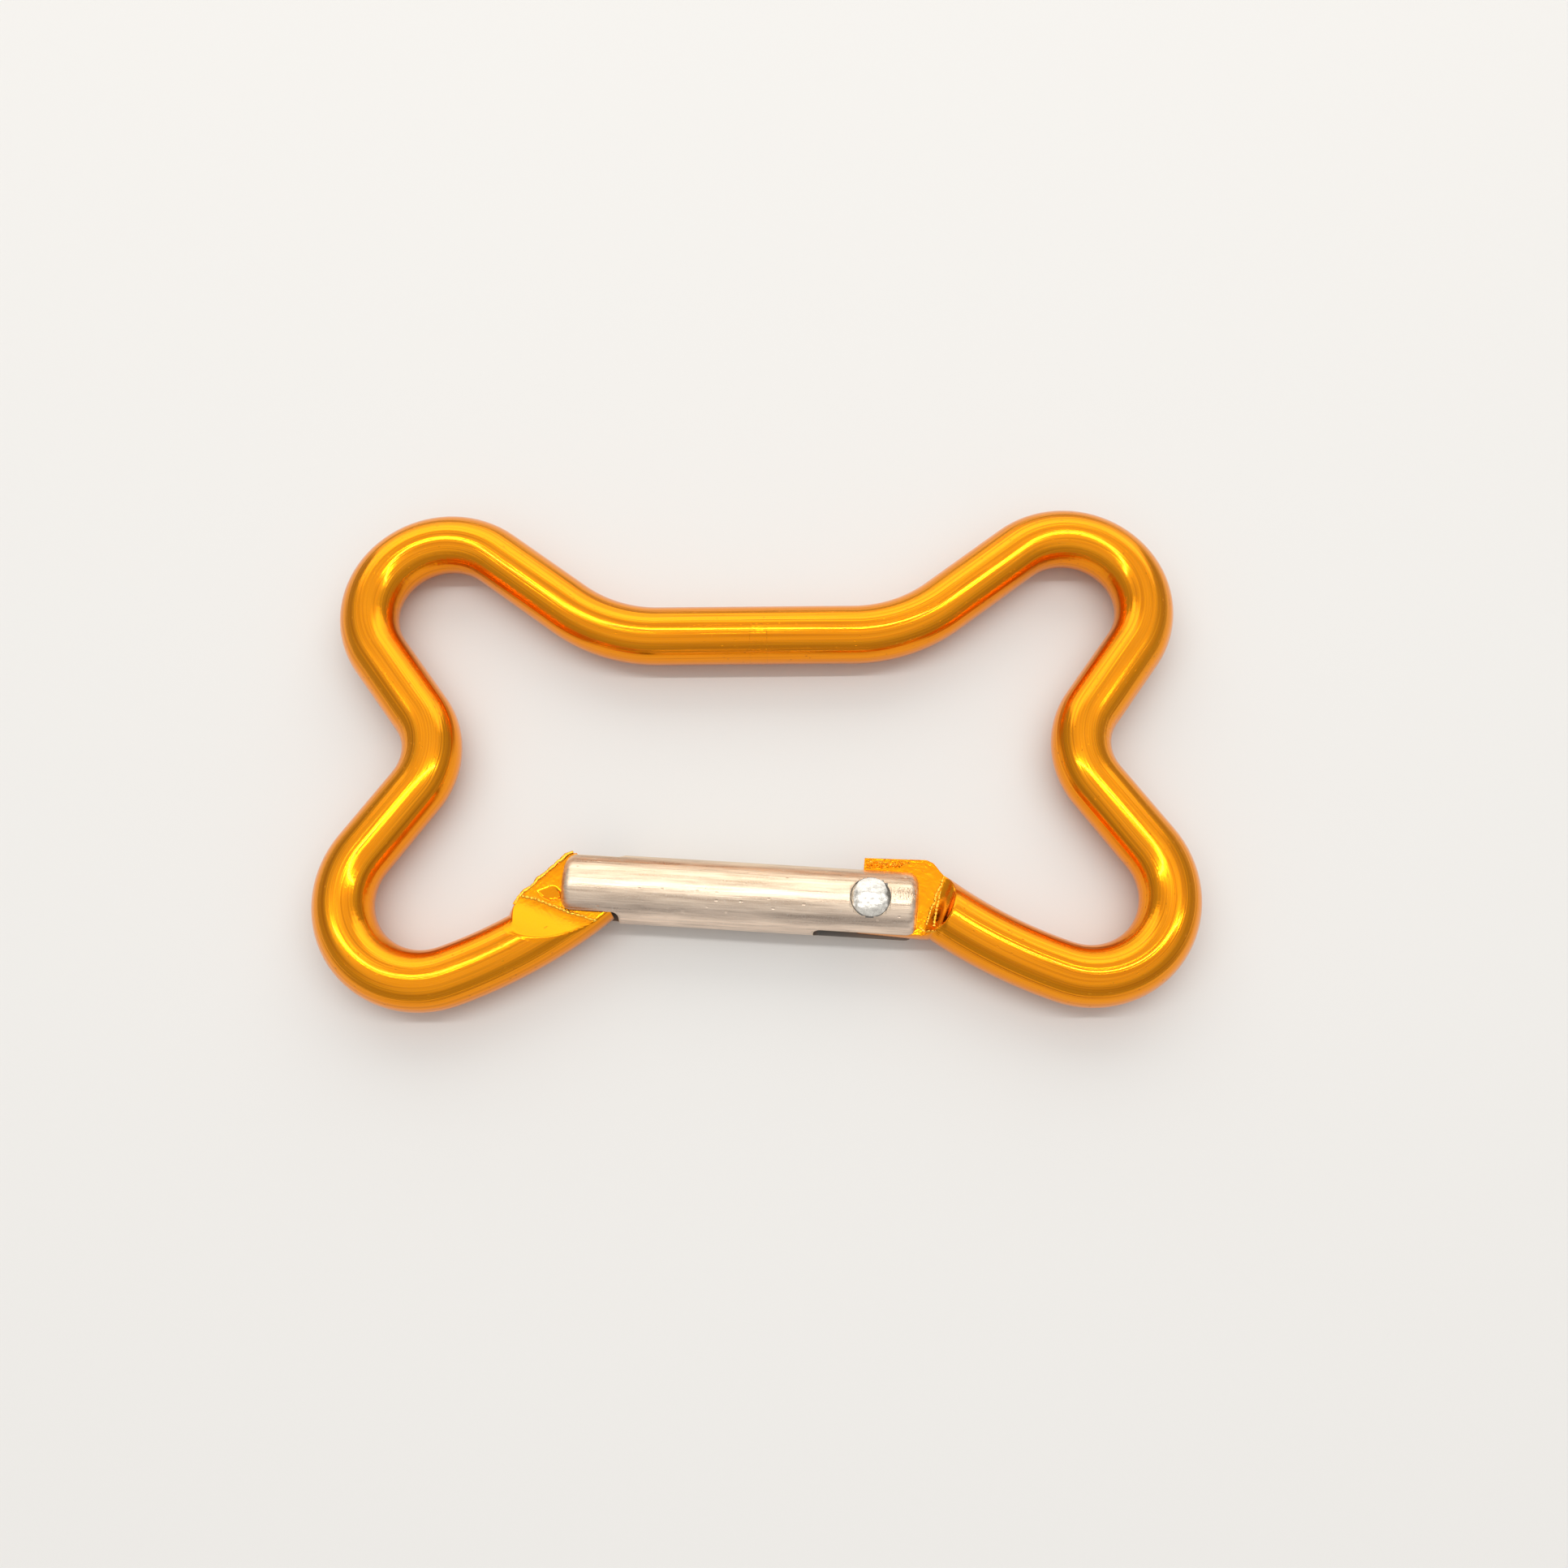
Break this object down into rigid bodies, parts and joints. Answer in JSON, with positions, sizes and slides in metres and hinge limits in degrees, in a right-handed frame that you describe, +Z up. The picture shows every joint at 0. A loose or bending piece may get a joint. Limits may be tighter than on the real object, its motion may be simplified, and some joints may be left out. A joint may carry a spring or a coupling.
{
  "type": "carabiner keyring",
  "caption": "Bone-shaped keyring carabiner of bent round rod with a sprung, riveted gate that swings inward.",
  "frame": {"origin": "under the middle of the bone, on the surface that it lies on", "axes": "X along the bone, with the gate's hinge towards +X; Y across it, with the gate on the -Y side; Z up, square to the flat of the bone"},
  "size_m": [0.065, 0.0396, 0.0052],
  "materials": {
    "frame_anodised": "glossy orange anodised",
    "gate_metal": "natural, drawn and tumbled",
    "rivet_metal": "peened, bright",
    "pin_steel": "turned steel",
    "spring_steel": "spring steel wire"
  },
  "bodies": {
    "frame": {"frame": "frame_anodised"},
    "gate": {"gate": "gate_metal", "rivet": "rivet_metal", "spring": "spring_steel"},
    "push_pin": {"push_pin": "pin_steel"}
  },
  "joints": [
    {"name": "gate_hinge", "type": "hinge", "parent": "frame", "child": "gate", "pos_m": [0.0083, -0.0121, 0.0026], "axis": [0, 0, -1], "range_deg": [0, 45], "stiffness_Nm_per_rad": 0.02, "springref_deg": -28.65},
    {"name": "pin_slide", "type": "slide", "parent": "gate", "child": "push_pin", "axis": [-0.9976, 0.0698, 0], "range_m": [0, 0.0016], "deforming": ["spring"]}
  ],
  "couplings": [
    {"joint": "pin_slide", "follows": "gate_hinge", "m_per_rad": 0.0019}
  ]
}
